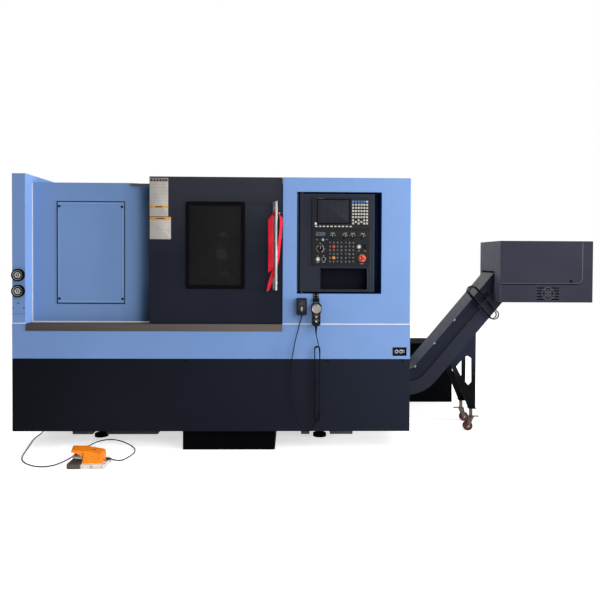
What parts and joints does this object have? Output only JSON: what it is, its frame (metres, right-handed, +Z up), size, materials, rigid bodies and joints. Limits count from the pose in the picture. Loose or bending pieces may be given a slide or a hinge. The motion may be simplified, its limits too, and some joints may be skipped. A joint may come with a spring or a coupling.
{
  "type": "cnc turning lathe",
  "caption": "Slant-bed turning lathe with sliding windowed door, swing-out operator console, hand-wheel pendant, foot pedal, coolant tanks and an inclined chip conveyor on casters.",
  "frame": {"origin": "on the floor, under the middle of the whole set's bounding box", "axes": "+X along the spindle from the headstock to the tailstock and the conveyor's discharge, +Y from the operator's side to the back, +Z up"},
  "size_m": [4.212, 2.162, 1.916],
  "materials": {
    "blue_paint": "satin light blue enamel over sheet steel, fine orange peel",
    "dark_paint": "satin dark navy enamel over sheet steel",
    "sill_steel": "worn sheet steel, brownish grey",
    "bright_steel": "turned and ground steel",
    "cast_iron": "painted and machined cast iron",
    "guard_steel": "grey sheet-steel guards",
    "black_paint": "black enamel",
    "console_black": "dark console face",
    "key_plastic": "grey moulded keys",
    "button_white": "white moulded button",
    "button_dark": "dark moulded button",
    "stop_red": "red mushroom head",
    "key_chrome": "nickel-plated lock and key",
    "dial_black": "black fluted knob",
    "dial_silver": "silver-white turned handwheel face",
    "hood_black": "black socket hood",
    "window_glass": "laminated safety glass",
    "handle_metal": "satin aluminium grip",
    "ribbon_red": "red cloth ribbon",
    "gauge_face": "pressure gauge with a steel case",
    "lid_paint": "dark enamel conveyor lid",
    "tank_black": "black coolant tank",
    "pedal_grey": "grey cast pedal base",
    "hood_orange": "orange pedal hood",
    "tread_rubber": "ribbed black tread",
    "cord_black": "black rubber-covered cable",
    "caster_zinc": "zinc-plated caster fork",
    "caster_tyre": "brown-red caster tyre"
  },
  "bodies": {
    "machine": {"bed_casting": "cast_iron", "levelling_feet": "black_paint", "base_panels": "dark_paint", "front_band": "blue_paint", "left_end_cover": "blue_paint", "headstock_cover": "blue_paint", "access_panel": "blue_paint", "column_shell": "blue_paint", "rear_enclosure": "blue_paint", "work_area_liner": "guard_steel", "pressure_gauges": "gauge_face", "door_tracks": "sill_steel", "pendant_body": "hood_black", "socket_hood": "hood_black", "pendant_plug": "dial_black", "headstock_casting": "cast_iron", "conveyor_trough": "lid_paint", "conveyor_lid": "lid_paint", "conveyor_head_box": "dark_paint", "conveyor_leg": "dark_paint", "coolant_tanks": "tank_black", "pedal_base": "pedal_grey", "pedal_hood": "hood_orange", "pedal_cord": "cord_black", "pendant_cord": "cord_black", "cord_tie": "cord_black", "conveyor_cable": "cord_black"},
    "door": {"door_shell": "dark_paint", "door_glass": "window_glass", "door_handle": "handle_metal", "door_ribbon": "ribbon_red"},
    "cabinet_door": {"cabinet_door": "blue_paint"},
    "console": {"console_box": "dark_paint", "cnc_unit": "console_black", "panel_keys": "key_plastic", "operator_panel": "console_black"},
    "start_button": {"start_button": "button_white"},
    "hold_button": {"hold_button": "button_dark"},
    "emergency_stop": {"emergency_stop": "stop_red"},
    "key_switch": {"key_switch": "key_chrome"},
    "override_dial": {"override_dial": "dial_black"},
    "hand_wheel": {"hand_wheel": "dial_silver"},
    "axis_knob": {"pendant_axis_knob": "dial_black"},
    "step_knob": {"pendant_step_knob": "dial_black"},
    "spindle": {"spindle": "bright_steel", "chuck_body": "bright_steel"},
    "jaw_1": {"chuck_jaw_1": "bright_steel"},
    "jaw_2": {"chuck_jaw_2": "bright_steel"},
    "jaw_3": {"chuck_jaw_3": "bright_steel"},
    "saddle": {"saddle": "cast_iron"},
    "turret_slide": {"turret_slide": "cast_iron"},
    "turret": {"turret_disc": "bright_steel"},
    "tailstock": {"tailstock": "cast_iron"},
    "quill": {"quill": "bright_steel"},
    "conveyor_drive": {"conveyor_drive_shaft": "bright_steel"},
    "front_fork": {"caster_fork_front": "caster_zinc"},
    "rear_fork": {"caster_fork_rear": "caster_zinc"},
    "front_wheel": {"caster_wheel_front": "caster_tyre"},
    "rear_wheel": {"caster_wheel_rear": "caster_tyre"},
    "pedal": {"pedal_tread": "tread_rubber"}
  },
  "joints": [
    {"name": "door_slide", "type": "slide", "parent": "machine", "child": "door", "axis": [-1, 0, 0], "range_m": [0, 0.82]},
    {"name": "cabinet_door_hinge", "type": "hinge", "parent": "machine", "child": "cabinet_door", "pos_m": [0.604, 0.9435, 1.393], "axis": [0, 0, -1], "range_deg": [0, 110]},
    {"name": "console_swing", "type": "hinge", "parent": "machine", "child": "console", "pos_m": [-0.117, -0.705, 1.45], "axis": [0, 0, -1], "range_deg": [0, 75]},
    {"name": "start_push", "type": "slide", "parent": "console", "child": "start_button", "axis": [0, 1, 0], "range_m": [0, 0.003], "stiffness_N_per_m": 300, "springref_m": -0.002},
    {"name": "hold_push", "type": "slide", "parent": "console", "child": "hold_button", "axis": [0, 1, 0], "range_m": [0, 0.003], "stiffness_N_per_m": 300, "springref_m": -0.002},
    {"name": "stop_push", "type": "slide", "parent": "console", "child": "emergency_stop", "axis": [0, 1, 0], "range_m": [0, 0.0035]},
    {"name": "key_turn", "type": "hinge", "parent": "console", "child": "key_switch", "pos_m": [0.031, -0.723, 1.472], "axis": [0, 1, 0], "range_deg": [0, 60]},
    {"name": "dial_turn", "type": "hinge", "parent": "console", "child": "override_dial", "pos_m": [0.013, -0.723, 1.41], "axis": [0, 1, 0], "range_deg": [0, 300]},
    {"name": "hand_wheel_spin", "type": "hinge", "parent": "machine", "child": "hand_wheel", "pos_m": [-0.015, -0.795, 1], "axis": [0, 1, 0], "continuous": true},
    {"name": "axis_knob_turn", "type": "hinge", "parent": "machine", "child": "axis_knob", "pos_m": [-0.015, -0.791, 0.945], "axis": [0, 1, 0], "range_deg": [0, 120]},
    {"name": "step_knob_turn", "type": "hinge", "parent": "machine", "child": "step_knob", "pos_m": [-0.015, -0.791, 0.914], "axis": [0, 1, 0], "range_deg": [0, 60]},
    {"name": "spindle_spin", "type": "hinge", "parent": "machine", "child": "spindle", "pos_m": [-1.606, -0.119, 1.08], "axis": [1, 0, 0], "continuous": true},
    {"name": "jaw_1_slide", "type": "slide", "parent": "spindle", "child": "jaw_1", "axis": [0, 0, 1], "range_m": [-0.009, 0.012]},
    {"name": "jaw_2_slide", "type": "slide", "parent": "spindle", "child": "jaw_2", "axis": [0, -0.866, -0.5], "range_m": [-0.009, 0.012]},
    {"name": "jaw_3_slide", "type": "slide", "parent": "spindle", "child": "jaw_3", "axis": [0, 0.866, -0.5], "range_m": [-0.009, 0.012]},
    {"name": "saddle_slide", "type": "slide", "parent": "machine", "child": "saddle", "axis": [1, 0, 0], "range_m": [-0.155, 0.12]},
    {"name": "cross_slide", "type": "slide", "parent": "saddle", "child": "turret_slide", "axis": [0, -0.7071, -0.7071], "range_m": [0, 0.21]},
    {"name": "turret_index", "type": "hinge", "parent": "turret_slide", "child": "turret", "pos_m": [-0.706, 0.17799, 1.37698], "axis": [1, 0, 0], "continuous": true},
    {"name": "tailstock_slide", "type": "slide", "parent": "machine", "child": "tailstock", "axis": [-1, 0, 0], "range_m": [0, 0.15]},
    {"name": "quill_slide", "type": "slide", "parent": "tailstock", "child": "quill", "axis": [-1, 0, 0], "range_m": [0, 0.12]},
    {"name": "conveyor_drive_spin", "type": "hinge", "parent": "machine", "child": "conveyor_drive", "pos_m": [1.4839, -0.0715, 1.1247], "axis": [0, 1, 0], "continuous": true},
    {"name": "front_caster_swivel", "type": "hinge", "parent": "machine", "child": "front_fork", "pos_m": [1.225, -0.211, 0.15], "axis": [0, 0, 1], "continuous": true},
    {"name": "rear_caster_swivel", "type": "hinge", "parent": "machine", "child": "rear_fork", "pos_m": [1.225, 0.068, 0.15], "axis": [0, 0, 1], "continuous": true},
    {"name": "front_wheel_spin", "type": "hinge", "parent": "front_fork", "child": "front_wheel", "pos_m": [1.201, -0.211, 0.037], "axis": [0, 1, 0], "continuous": true},
    {"name": "rear_wheel_spin", "type": "hinge", "parent": "rear_fork", "child": "rear_wheel", "pos_m": [1.249, 0.068, 0.037], "axis": [0, 1, 0], "continuous": true},
    {"name": "pedal_press", "type": "hinge", "parent": "machine", "child": "pedal", "pos_m": [-1.412, -1.001, 0.046], "axis": [0, -1, 0], "range_deg": [0, 8], "stiffness_Nm_per_rad": 4, "springref_deg": -34.38}
  ],
  "couplings": [
    {"joint": "jaw_2_slide", "follows": "jaw_1_slide", "ratio": 1},
    {"joint": "jaw_3_slide", "follows": "jaw_1_slide", "ratio": 1}
  ]
}
